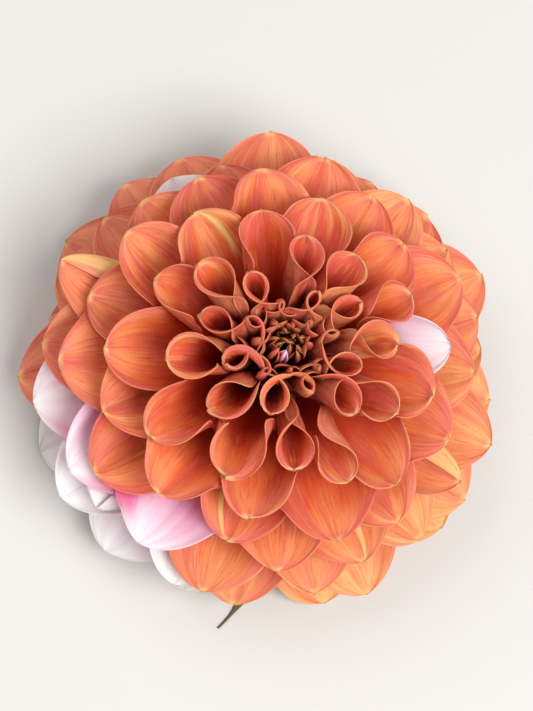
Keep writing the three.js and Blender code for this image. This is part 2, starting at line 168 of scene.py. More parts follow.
FURROW = 0.4                    # depth of the furrow along the midrib
FURROW_WIDTH = 0.09             # as a share of the half width,
FURROW_JITTER = 0.12            # like this, how far from the midrib it lies
RIBS = (2, 3, 5)                # waves of the ribs across a petal
RIB_HEIGHT = 0.28
RIB_JITTER = 0.22
RIBS_FROM = (0.3, 0.85)         # shares of the length where they rise
WAVES = [                       # height, pace along a petal, channel, and power across it
    (0.7, 5, 8, 1),
    (0.6, 9, 10, 2),
]
WAVES_FROM = (0.4, 0.8)

TINTED_POLAR = (50, 90)         # the outer petals' tints, the painted light and shade of their sides among them, set in between these angles
PAINTED_LIGHT_SIDE = -35                # azimuth where the outer petals are palest, as painted light on the side towards the key light,
PAINTED_SHADE_SIDE = 145                 # and where they are duskiest, as painted shade on the side away from it,
SIDE_POWER = 1.5                # and how narrow those sides are
PEACH_JITTER = 0.2
NOISE_STEP = 0.37               # from one floret's noise to the next one's
LONE_MIDDLE = 7                 # a small pale floret among the buds

# Florets with one margin folded over, and its side.
TURNED_MARGINS = {73: 1, 77: -1, 88: 1}
# Florets with a yellow stripe, and its place across them.
STRIPES = {48: -0.35, 62: -0.3, 78: 0.2}
# The white florets that have pink in them, and how much; its sign is the pinker margin's side.
FLUSHED = {75: -0.9, 80: 1.0, 93: 0.55, 88: -0.35, 7: 1.1, 55: 0.2, 82: 0.3}
FLUSHED_LEAST = 0.1             # of the others
FLUSHED_LEAN = 0.4              # how far a flush leans to that margin

CORE_OUTLINE = [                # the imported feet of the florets: radius, height
    (0.2, 12.3), (10, 12.3), (20, 13.5), (27, 17), (26, 22), (19, 26.5), (12, 28.5), (0.2, 29.5),
]
CORE_SHADE = 0.3                # painted shade: it is as dark as this much of a petal from its foot
STEM_OUTLINE = [
    (0.2, 0.05), (2.6, 0.05), (3.2, 0.3), (3.3, 2), (3.1, 4), (3.3, 6), (4.2, 7.6), (6.4, 8.9),
    (8.2, 9.9), (8.5, 10.8), (8.3, 11.7), (0.2, 11.8),
]
BRACT_WALL = 0.6
LEAF_WALL = 0.4
LEAF_LIES_AT = 0.35             # height of its midrib,
LEAF_LOWEST = 0.25              # and of its lowest
LEAF_HIGHEST = 0.7              # and highest crests

# The bloom's axis stands in the middle of the ring of inner bracts.
AXIS = sum(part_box("inner_bracts"), Vector()) / 2
AXIS.z = 0

MASK = 0xFFFFFFFF
UP = np.array([0, 0, 1.0])


def draw(floret, channel):
    """A seeded random number from -1 to 1, the same for the same floret every time."""
    x = (floret * 32 + channel + SEED) * 2654435761 & MASK
    x = (x ^ x >> 15) * 2246822519 & MASK
    x = (x ^ x >> 13) * 3266489917 & MASK
    return (x ^ x >> 16) / 2147483648 - 1


def smoothstep(x, low, high):
    u = np.clip((x - low) / (high - low), 0, 1)
    return u * u * (3 - 2 * u)


def lerp(a, b, u):
    return a + (b - a) * u


def bell(x, width):
    return np.exp(-((x / width) ** 2))


# ------------------------------------------------------------------ the meshes
class Sheet:
    """A thin closed blade: rows along it and columns across it, with two skins and a rim.

    Its blade attribute holds s, t and the skin, 1 on the inner side and 0 on the back,
    and its form attribute the distance to the edge and the height of the ribs.
    """

    RIM = 0.8                 # how far the rim stands out, as a share of half the thickness

    def __init__(self, s, t, middle, normal, side, thickness, form=None):
        rows, columns = middle.shape[:2]
        form = np.zeros((rows, columns, 3)) if form is None else form
        half = thickness[..., None] / 2
        upper = middle + normal * half
        lower = middle - normal * half
        bulge = half[:, [0, -1]] * self.RIM
        left = middle[:, 0] - side[:, 0] * bulge[:, 0]
        right = middle[:, -1] + side[:, -1] * bulge[:, 1]
        loop = np.concatenate([upper, right[:, None], lower[:, ::-1], left[:, None]], axis=1)
        size = loop.shape[1]
        self.points = loop.reshape(-1, 3)
        along = np.repeat(s[:, None], size, axis=1)
        across = np.tile(np.concatenate([t, [1.0], t[::-1], [-1.0]]), (rows, 1))
        skin = np.concatenate([np.ones(columns), [0.5], np.zeros(columns), [0.5]])
        self.blade = np.stack([along, across, np.tile(skin, (rows, 1))], axis=-1).reshape(-1, 3)
        ends = [form[:, -1:], form[:, ::-1], form[:, :1]]
        self.form = np.concatenate([form, *ends], axis=1).reshape(-1, 3)
        here = np.arange(rows - 1)[:, None] * size + np.arange(size)
        beside = np.arange(rows - 1)[:, None] * size + (np.arange(size) + 1) % size
        quads = np.stack([beside, here, here + size, beside + size], axis=-1).reshape(-1, 4)
        last = rows * size - 1
        self.faces = [*quads.tolist(), list(range(size)), list(range(last, last - size, -1))]


class Lathe:
    """A closed body turned about the bloom's axis from pairs of radius and height."""

    SIDES = 48
    INSIDE = 5.0              # the distance that stands for no edge near

    def __init__(self, outline):
        outline = np.array(outline)
        count = len(outline)
        turn = np.linspace(0, 2 * math.pi, self.SIDES, endpoint=False)
        self.points = np.stack([
            outline[:, :1] * np.cos(turn),
            outline[:, :1] * np.sin(turn),
            np.repeat(outline[:, 1:], self.SIDES, axis=1),
        ], axis=-1).reshape(-1, 3)
        along = np.repeat(np.linspace(0, 1, count)[:, None], self.SIDES, axis=1)
        across = np.tile(turn / math.pi - 1, (count, 1))
        self.blade = np.stack([along, across, 0 * along], axis=-1).reshape(-1, 3)
        self.form = np.tile([self.INSIDE, 0, 0], (count * self.SIDES, 1))
        here = np.arange(count - 1)[:, None] * self.SIDES + np.arange(self.SIDES)
        beside = np.arange(count - 1)[:, None] * self.SIDES + (np.arange(self.SIDES) + 1) % self.SIDES
        quads = np.stack([here, beside, beside + self.SIDES, here + self.SIDES], axis=-1)
        last = count * self.SIDES - 1
        self.faces = [
            *quads.reshape(-1, 4).tolist(),
            list(range(self.SIDES - 1, -1, -1)),
            list(range(last - self.SIDES + 1, last + 1)),
        ]


def add_vectors(mesh, name, values):
    attribute = mesh.attributes.new(name, "FLOAT_VECTOR", "POINT")
    attribute.data.foreach_set("vector", np.asarray(values, np.float32).ravel())


NO_MARKS = [0.0] * 9


def mesh_object(name, bodies, material, nodes, marks=None):
    """One object from many bodies, which rides on the bloom and stands for CAD nodes."""
    marks = marks or [NO_MARKS] * len(bodies)
    faces, start = [], 0
    for body in bodies:
        faces.extend([[i + start for i in face] for face in body.faces])
        start += len(body.points)
    points = np.concatenate([body.points for body in bodies]) * MM + np.array(AXIS)
    mesh = bpy.data.meshes.new(name)
    mesh.from_pydata(points.tolist(), [], faces)
    marked = np.concatenate([np.tile(m, (len(b.points), 1)) for m, b in zip(marks, bodies)])
    add_vectors(mesh, "blade", np.concatenate([body.blade for body in bodies]))
    add_vectors(mesh, "form", np.concatenate([body.form for body in bodies]))
    add_vectors(mesh, "floret", marked[:, 0:3])
    add_vectors(mesh, "mark", marked[:, 3:6])
    add_vectors(mesh, "tint", marked[:, 6:9])
    mesh.polygons.foreach_set("use_smooth", [True] * len(mesh.polygons))
    mesh.materials.append(material)
    obj = bpy.data.objects.new(name, mesh)
    bpy.context.scene.collection.objects.link(obj)
    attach(obj, "root")
    if nodes:
        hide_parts(*nodes)


def summed_across(values, t):
    """The running sum of each row's values over t, which is 0 in the middle of the row."""
    sums = np.cumsum((values[:, 1:] + values[:, :-1]) / 2 * np.diff(t), axis=1)
    sums = np.concatenate([np.zeros((len(values), 1)), sums], axis=1)
    half = len(t) // 2
    return sums - sums[:, half - 1:half + 1].mean(axis=1, keepdims=True)


def rolled(t, rows, half_width, theta):
    """A sheet whose section turns by theta across it: its points, normals and outward directions."""
    point, side, up = rows
    cos, sin = np.cos(theta), np.sin(theta)
    reach = summed_across(cos, t) * half_width[:, None]
    lift = summed_across(sin, t) * half_width[:, None]
    middle = point[:, None] + side[:, None] * reach[..., None] + up[:, None] * lift[..., None]
    normal = up[:, None] * cos[..., None] - side[:, None] * sin[..., None]
    outward = side[:, None] * cos[..., None] + up[:, None] * sin[..., None]
    return middle, normal, outward


def columns_across(count, crowding=1.25):
    """Places across a blade, closer at its margins."""
    return np.sin(np.linspace(-1, 1, count) * crowding) / math.sin(crowding)


def rows_to_point(rows):
    """A blade's rows, the last of them moved back from the point where it has no width."""
    rows[-1] = BLADE_END
    return rows


def directions(azimuth):
    """The outward and sideways directions at an azimuth in degrees."""
    turn = math.radians(azimuth)
    return np.array([math.cos(turn), math.sin(turn), 0]), np.array([-math.sin(turn), math.cos(turn), 0])


# ------------------------------------------------------------------ the florets
class Floret:
    """Everything that the spiral's rule settles about one floret."""

    def __init__(self, floret):
        self.floret = floret
        self.polar = self.polar_of(floret)
        azimuth = FIRST_AZIMUTH + floret * GOLDEN_ANGLE + AZIMUTH_JITTER * draw(floret, 0)
        self.azimuth = azimuth % 360
        size = LONE_SIDE_SIZE if floret == LONE_SIDE else 1
        grown_width = 1 - math.exp(-((floret / WIDTH_SCALE) ** WIDTH_POWER))
        width = BUD_WIDTH + (PETAL_WIDTH - BUD_WIDTH) * grown_width
        width = width * (1 + WIDER * bell(floret - WIDEST_AT, WIDEST_OVER)) * size
        self.half_width = width / 2 * (1 + WIDTH_JITTER * draw(floret, 17))
        self.grown = float(smoothstep(floret, 0, QUILL_COUNT))
        self.leaning = math.exp(-((floret / LEANS_TO) ** 4))
        self.curve, self.length = self.midrib(size)
        petal_share = float(smoothstep(floret, *TUBES_TURN))
        hood_share = 1 - float(smoothstep(floret, *HOODS_TURN))
        self.shoulder, self.bluntness, self.ogive = (
            lerp(lerp(TUBE_END[key], PETAL_END[key], petal_share), HOOD_END[key], hood_share)
            for key in ("shoulder", "bluntness", "ogive")
        )
        folded = FOLD if floret > FOLDS_FROM and draw(floret, 19) > FOLDS_OVER else 0
        arch = FLAT_ROLL + (FOOT_ROLL - FLAT_ROLL) / (1 + (floret / ARCH_SCALE) ** ARCH_POWER)
        arch = min(arch * (1 + ARCH_JITTER * draw(floret, 18) + folded), FOOT_ROLL)
        scroll = SCROLL * (1 - float(smoothstep(floret, *SCROLLS_TO)))
        scroll += TIGHT * (1 - float(smoothstep(floret, *TIGHT_TO)))
        self.roll = math.radians(arch + scroll)
        self.channel = lerp(self.roll, math.radians(CHANNEL), float(smoothstep(floret, *CHANNELS)))
        self.opened = float(smoothstep(floret, *MOUTHS_OPEN))
        self.twist = math.radians(TWIST_JITTER * draw(floret, 3)) * self.grown

    @staticmethod
    def polar_of(floret):
        """The angle from the bloom's axis: each floret takes its share of the dome."""
        growing = GROWN_AT - GROWS_FROM
        u = min(max((floret - GROWS_FROM) / growing, 0), 1)
        full = growing * (u**3 - u**4 / 2) + max(floret - GROWN_AT, 0)
        return math.degrees(math.acos(1 - BUD_SHARE * (floret + 0.5) - GROWN_SHARE * full))

    def midrib(self, size):
        """The four points of the midrib's curve as radius and height, and its rough length."""
        n = self.floret
        polar = math.radians(self.polar)
        drop = SKIRT_DROP if self.polar > 90 else DOME_HEIGHT
        dimple = DIMPLE_DEPTH * bell(self.polar, DIMPLE_ANGLE)
        height = EQUATOR_HEIGHT + drop * math.cos(polar) - dimple
        radius = BLOOM_RADIUS * math.sin(polar) * lerp(SMALL_REACH, 1, size)
        outer = float(smoothstep(self.polar, *OUTER_POLAR))
        stray = TIP_JITTER * self.grown * (1 + OUTER_JITTER * outer)
        tip = np.array([
            radius - TIPS_CROSS * self.leaning + stray * draw(n, 1),
            max(height + stray * draw(n, 2), REST_HEIGHT),
        ])
        base = FOOT_POLAR * polar
        foot = np.array([
            RECEPTACLE_RADIUS * math.sin(base),
            RECEPTACLE_BASE + RECEPTACLE_HEIGHT * math.cos(base),
        ])
        foot_angle = FOOT_SLOPE * polar
        tip_angle = polar * (TIP_SLOPE - TIP_SLOPE_LOSS * self.polar) - LEAN * self.leaning
        length = np.linalg.norm(tip - foot)
        reach = length / 3 * (1 - HOOK_SHORT * self.leaning)
        leave = foot + reach * np.array([math.sin(foot_angle), math.cos(foot_angle)])
        arrive = tip - reach * np.array([math.sin(tip_angle), math.cos(tip_angle)])
        return (foot, leave, arrive, tip), length

    def is_white(self):
        return self.polar > WHITE_POLAR and WHITE_FROM < self.azimuth < WHITE_TO

    def frame_at(self, s):
        """The midrib's points and the directions across and up from it, one row each."""
        a, b, c, d = self.curve
        u = 1 - s[:, None]
        v = s[:, None]
        flat = a * u**3 + 3 * b * u * u * v + 3 * c * u * v * v + d * v**3
        along = (b - a) * u * u + 2 * (c - b) * u * v + (d - c) * v * v
        along /= np.linalg.norm(along, axis=1, keepdims=True)
        out, across = directions(self.azimuth)
        point = out * flat[:, :1] + UP * flat[:, 1:]
        rise = UP * along[:, :1] - out * along[:, 1:]
        twist = (self.twist * s)[:, None]
        side = across * np.cos(twist) + rise * np.sin(twist)
        up = rise * np.cos(twist) - across * np.sin(twist)
        return point, side, up

    def shape_at(self, s):
        """Half the width along it, as a share of the widest: a tube, then an end with a small point."""
        tube = lerp(TUBE_SHARE, 1, smoothstep(s, TUBE_TO, self.shoulder) ** TUBE_POWER)
        u = np.clip((s - self.shoulder) / (1 - self.shoulder), 0, 1)
        outline = np.maximum(1 - (u / (1 - BEAK)) ** self.bluntness, 0) ** self.ogive
        end = (1 - BEAK) * outline + BEAK * (1 - u)
        return np.where(s < self.shoulder, tube, end)

    def roll_at(self, s, shape):
        """Half the angle of the section: shut at the foot, then a channel, then the blade."""
        foot = lerp(math.radians(FOOT_ROLL), self.channel, smoothstep(s, TUBE_TO, WAIST))
        blade = lerp(self.channel, self.roll, smoothstep(s, WAIST, self.shoulder))
        end = self.roll * shape ** (MOUTH_POWER * self.opened)
        return np.where(s < WAIST, foot, np.where(s < self.shoulder, blade, end))

    def theta_at(self, s, t, shape):
        """The angle of the section at each point: a keel, a scroll, a turned lip or a turned margin."""
        n = self.floret
        keel = lerp(*KEEL, float(smoothstep(n, *KEEL_SOFTENS))) * bell(t, KEEL_WIDTH)
        scroll = SPIRAL * float(smoothstep(self.roll, *SPIRALS_FROM)) * (1 if draw(n, 6) > 0 else -1)
        bend = 1 + keel + scroll * t
        angle = np.concatenate([[0], np.cumsum((bend[1:] + bend[:-1]) / 2 * np.diff(t))])
        angle -= np.interp(0, t, angle)
        angle /= (angle[-1] - angle[0]) / 2
        theta = self.roll_at(s, shape)[:, None] * angle[None, :]
        lip = math.radians(LIP) * self.grown * bell(n - LIP_AT, LIP_OVER)
        theta = theta - lip * np.sign(t) * smoothstep(np.abs(t), LIP_FROM, 1)
        turned = TURNED_MARGINS.get(n, 0)
        if turned:
            across = smoothstep(turned * t, *TURNED_ACROSS)[None, :]
            over = across * smoothstep(s, *TURNED_ALONG)[:, None]
            theta = theta + turned * math.radians(TURNED_BY) * over
        return theta

    def relief(self, s, t):
        """How far the surface stands off its rolled form: ribs that meet at the tip, and waves."""
        n = self.floret
        s = s[:, None]
        t = t[None, :]
        late = smoothstep(s, *RIBS_FROM)
        rib = -FURROW * bell(t - FURROW_JITTER * draw(n, 20), FURROW_WIDTH) * late
        for k in RIBS:
            height = (RIB_HEIGHT + RIB_JITTER * draw(n, 20 + k)) / k
            rib = rib + height * np.cos(math.pi * (k * t + draw(n, 24 + k))) * late
        wave = sum(
            height * draw(n, channel) * np.sin(pace * s + 3 * draw(n, channel + 1)) * t**power
            for height, pace, channel, power in WAVES
        ) * smoothstep(s, *WAVES_FROM)
        return self.half_width / (PETAL_WIDTH / 2) * (rib + wave)


class Nest:
    """The room that the florets so far have taken, which each later one lies under.

    Seen from the middle of the head, a floret runs outwards and its neighbours
    lie above or below it. So a map by distance and azimuth keeps the lowest
    polar angle taken, and a floret that would come through is bent below it.
    """

    CENTRE = np.array([0, 0, float(RECEPTACLE_BASE)])
    STEP = 1.0                # of distance from one ring of the map to the next
    RINGS = 80
    TURNS = 300
    GAP = 0.9                 # from one floret's middle to the next one's
    PASSES = 14               # how often a bend is spread to its surroundings,
    KEPT = 0.97               # and what each pass keeps of it

    def __init__(self):
        self.lowest = np.zeros((self.RINGS, self.TURNS))

    def seen(self, points):
        """Where points lie, seen from the middle, and their rows and columns on the map."""
        away = points - self.CENTRE
        distance = np.linalg.norm(away, axis=-1)
        polar = np.arccos(np.clip(away[..., 2] / distance, -1, 1))
        azimuth = np.arctan2(away[..., 1], away[..., 0])
        row = np.clip((distance / self.STEP).astype(int), 0, self.RINGS - 1)
        column = (azimuth / (2 * math.pi) * self.TURNS).astype(int) % self.TURNS
        return distance, polar, azimuth, row, column

    def take(self, points):
        """Marks the room of a floret, one place wider all round."""
        _, polar, _, row, column = self.seen(points)
        for i in (-1, 0, 1):
            for j in (-1, 0, 1):
                place = (np.clip(row + i, 0, self.RINGS - 1), (column + j) % self.TURNS)
                np.maximum.at(self.lowest, place, polar)

    def press(self, points, share):
        """A floret's points, bent below the room that is taken, with its surroundings."""
        distance, polar, azimuth, row, column = self.seen(points)
        need = self.lowest[row, column] + self.GAP / distance - polar
        need = np.maximum(need, 0) * (self.lowest[row, column] > 0) * share
        bend = need
        for _ in range(self.PASSES):
            wide = np.pad(bend, 1, mode="edge")
            blurred = (wide[:-2, 1:-1] + wide[2:, 1:-1] + wide[1:-1, :-2] + wide[1:-1, 2:]) / 4
            bend = np.maximum(need, self.KEPT * blurred)
        polar = polar + bend
        return self.CENTRE + distance[..., None] * np.stack([
            np.sin(polar) * np.cos(azimuth), np.sin(polar) * np.sin(azimuth), np.cos(polar)
        ], axis=-1)


def petal(floret, nest, rows=40, columns=22):
    """One petal as a thin closed sheet."""
    shoulder = floret.shoulder
    lower = np.linspace(BLADE_START, shoulder, rows // 2, endpoint=False)
    angle = np.linspace(0, math.pi / 2, rows - rows // 2)
    s = rows_to_point(np.concatenate([lower, shoulder + (1 - shoulder) * np.sin(angle)]))
    t = columns_across(columns)
    shape = floret.shape_at(s)
    half_width = floret.half_width * shape
    theta = floret.theta_at(s, t, shape)
    middle, normal, outward = rolled(t, floret.frame_at(s), half_width, theta)
    ribs = floret.relief(s, t)
    middle = middle + normal * ribs[..., None]
    middle = nest.press(middle, float(smoothstep(floret.floret, *NESTS)))
    nest.take(middle)
    thinner = (1 - TIP_THINNER * smoothstep(s, TIP_FROM, 1))[:, None]
    wall = WALL * (1 - MARGIN_THINNER * t[None, :] ** 2) * thinner
    wall = wall * np.minimum(1, half_width / NARROW)[:, None]
    edge = np.minimum(
        (1 - np.abs(t))[None, :] * half_width[:, None],
        (1 - s)[:, None] * floret.length,
    )
    form = np.stack([edge, ribs, 0 * edge], axis=-1)
    sheet = Sheet(s, t, middle, normal, outward, wall, form)
    height = sheet.points[:, 2]
    pressed = PRESSED_FROM * np.exp(np.minimum(height / PRESSED_FROM, 1) - 1)
    sheet.points[:, 2] = np.where(height < PRESSED_FROM, pressed, height)
    return sheet


def marks_of(floret):
    """Numbers that the petal's material reads.

    They are its rank, tone and peach share, partly painted light on the lit side; its
    stripe, the stripe's place and its painted shade on the far side; and its noise
    offset, its flush and the flushed side.
    """
    n = floret.floret
    outer = float(smoothstep(floret.polar, *TINTED_POLAR))
    toward = math.cos(math.radians(floret.azimuth - PAINTED_LIGHT_SIDE))
    peach_and_painted_light = outer * (max(0, toward) ** SIDE_POWER + PEACH_JITTER * max(0, draw(n, 12)))
    far_side_painted_shade = outer * max(0, math.cos(math.radians(floret.azimuth - PAINTED_SHADE_SIDE))) ** SIDE_POWER
    flushed = FLUSHED.get(n, FLUSHED_LEAST)
    return [
        n / FLORET_COUNT, draw(n, 14), peach_and_painted_light,
        1.0 if n in STRIPES else 0.0, STRIPES.get(n, 0.0), far_side_painted_shade,
        n * NOISE_STEP, abs(flushed), math.copysign(FLUSHED_LEAN, flushed),
    ]


def core():
    """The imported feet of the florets, which close the view through the head."""
    body = Lathe(CORE_OUTLINE)
    # Painted shade: the core takes the dark colour of a petal's shaded foot.
    body.blade[:, 0] *= CORE_SHADE
    body.blade[:, 2] = 1
    return body


# --------------------------------------------------------- stem, bracts, leaf
def along_bend(path, s):
    """Points and unit tangents of a curve through two ends that bends towards a middle point."""
    a, b, c = [np.array(p, float) for p in path]
    u = 1 - s[:, None]
    v = s[:, None]
    flat = a * u * u + 2 * b * u * v + c * v * v
    along = (b - a) * u + (c - b) * v
    return flat, along / np.linalg.norm(along, axis=1, keepdims=True)


def bracts(count, first, path, half_width, roll, rows=22, columns=14):
    """A ring of bracts that follow a curve of radius and height, each with a slight wave and keel."""
    s = rows_to_point(np.sin(np.linspace(0.05, math.pi / 2, rows)))
    t = columns_across(columns)
    flat, along = along_bend(path, s)
    end = np.sqrt(1 - s**2)
    width = half_width * (0.7 + 0.9 * s) * end
    theta = (math.radians(roll) * end + 0.02)[:, None] * t[None, :]
    made = []
    for k in range(count):
        out, across = directions(360 * k / count + first)
        point = out * flat[:, :1] + UP * flat[:, 1:]
        up = UP * along[:, :1] - out * along[:, 1:]
        side = np.repeat(across[None], len(s), axis=0)
        middle, normal, outward = rolled(t, (point, side, up), width, theta)
        wave = 0.25 * np.sin(5 * s + 2 * draw(k, 7))[:, None] * t[None, :] ** 2
        middle = middle + normal * (wave - 0.2 * bell(t, 0.2))[..., None]
        wall = BRACT_WALL * np.minimum(1, 0.2 + width / 1.5)[:, None] * np.ones_like(t)[None, :]
        made.append(Sheet(s, t, middle, normal, outward, wall))
    return made


def leaf(rows=60, columns=18):
    """The narrow dry leaf, which lies on the surface."""
    s = rows_to_point(np.sin(np.linspace(0, math.pi / 2, rows)))
    t = np.linspace(-1, 1, columns)
    flat, along = along_bend([LEAF_FOOT, LEAF_BEND, LEAF_TIP], s)
    lamina = LEAF_HALF_WIDTH * np.sin(math.pi * smoothstep(s, 0.2, 1) ** 0.7) ** 1.3
    width = np.maximum(lamina, 0.9 * (1 - s) + 0.05)
    zero = np.zeros(len(s))
    point = np.column_stack([flat, zero + LEAF_LIES_AT])
    side = np.column_stack([along[:, 1], -along[:, 0], zero])
    up = np.repeat(UP[None], len(s), axis=0)
    theta = (0.02 + 0.4 * smoothstep(width, 1, 3))[:, None] * t[None, :]
    middle, normal, outward = rolled(t, (point, side, up), width, theta)
    crest = 0.18 * np.sin(22 * s[:, None] + 5 * np.abs(t)[None, :]) * np.abs(t)[None, :]
    crest = crest * smoothstep(width, 1, 2)[:, None]
    middle[..., 2] = np.clip(middle[..., 2] + crest, LEAF_LOWEST, LEAF_HIGHEST)
    wall = LEAF_WALL * np.ones((len(s), len(t)))
    return Sheet(s, t, middle, normal, outward, wall)


# --------------------------------------------------------------- the materials
def srgb(red, green, blue):
    """A colour of the sRGB scale, 0 to 255, as the linear one that shaders take."""
    linear = [
        c / 12.92 if c <= 0.04045 else ((c + 0.055) / 1.055) ** 2.4
        for c in (red / 255, green / 255, blue / 255)
    ]
    return (*linear, 1)


class Shader:
    """A Principled material and short calls for the nodes that drive it."""

    def __init__(self, name, **fixed):
        self.material = bpy.data.materials.new(name)
        self.material.use_nodes = True
        self.tree = self.material.node_tree
        self.surface = self.tree.nodes["Principled BSDF"]
        for socket, value in fixed.items():
            self.surface.inputs[socket.replace("_", " ")].default_value = value

    def put(self, socket, value):
        """Links a socket to another node's, or gives it a fixed value."""
        if isinstance(value, bpy.types.NodeSocket):
            self.tree.links.new(value, socket)
        elif value is not None:
            socket.default_value = value

    def drive(self, name, value):
        """Links or sets one of the surface's own sockets."""
        self.put(self.surface.inputs[name], value)

    def attribute(self, name):
        """The three parts of one of the mesh's attributes."""
        node = self.tree.nodes.new("ShaderNodeAttribute")
        node.attribute_name = name
        parts = self.tree.nodes.new("ShaderNodeSeparateXYZ")
        self.put(parts.inputs[0], node.outputs["Vector"])
        return parts.outputs[0], parts.outputs[1], parts.outputs[2]

    def math(self, operation, a, b=None):
        node = self.tree.nodes.new("ShaderNodeMath")
        node.operation = operation
        for socket, value in zip(node.inputs, (a, b)):
            self.put(socket, value)
        return node.outputs[0]

    def add(self, a, b):
        return self.math("ADD", a, b)

    def less(self, a, b):
        return self.math("SUBTRACT", a, b)

    def times(self, *values):
        product = values[0]
        for value in values[1:]:
            product = self.math("MULTIPLY", product, value)
        return product

    def step(self, value, low, high, to_low=0.0, to_high=1.0):
        """A smooth step between two values."""
        node = self.tree.nodes.new("ShaderNodeMapRange")
        node.interpolation_type = "SMOOTHSTEP"
        for socket, given in zip(node.inputs, (value, low, high, to_low, to_high)):
            self.put(socket, given)
        return node.outputs[0]

    def mix(self, factor, a, b):
        """Colour a where the factor is 0, and b where it is 1."""
        node = self.tree.nodes.new("ShaderNodeMix")
        node.data_type = "RGBA"
        sockets = [socket for socket in node.inputs if socket.enabled]
        for socket, value in zip(sockets, (factor, a, b)):
            self.put(socket, value)
        return next(socket for socket in node.outputs if socket.enabled)

    def ramp(self, value, stops):
        """Colours that run through stops, which are pairs of place and colour."""
        node = self.tree.nodes.new("ShaderNodeValToRGB")
        self.put(node.inputs[0], value)
        elements = node.color_ramp.elements
        for k, (place, colour) in enumerate(stops):
            element = elements[k] if k < 2 else elements.new(place)
            element.position = place
            element.color = colour
        return node.outputs[0]

    def noise(self, x, y, z, detail=2.0, roughness=0.5):
        """Noise from 0 to 1 at a place of its own space, which isn't the object's."""
        place = self.tree.nodes.new("ShaderNodeCombineXYZ")
        for socket, value in zip(place.inputs, (x, y, z)):
            self.put(socket, value)
        node = self.tree.nodes.new("ShaderNodeTexNoise")
        self.put(node.inputs["Vector"], place.outputs[0])
        node.inputs["Scale"].default_value = 1
        node.inputs["Detail"].default_value = detail
        node.inputs["Roughness"].default_value = roughness
        return node.outputs[0]

    def bump(self, height, strength, distance):
        node = self.tree.nodes.new("ShaderNodeBump")
        node.inputs["Strength"].default_value = strength
        node.inputs["Distance"].default_value = distance
        self.put(node.inputs["Height"], height)
        self.drive("Normal", node.outputs[0])


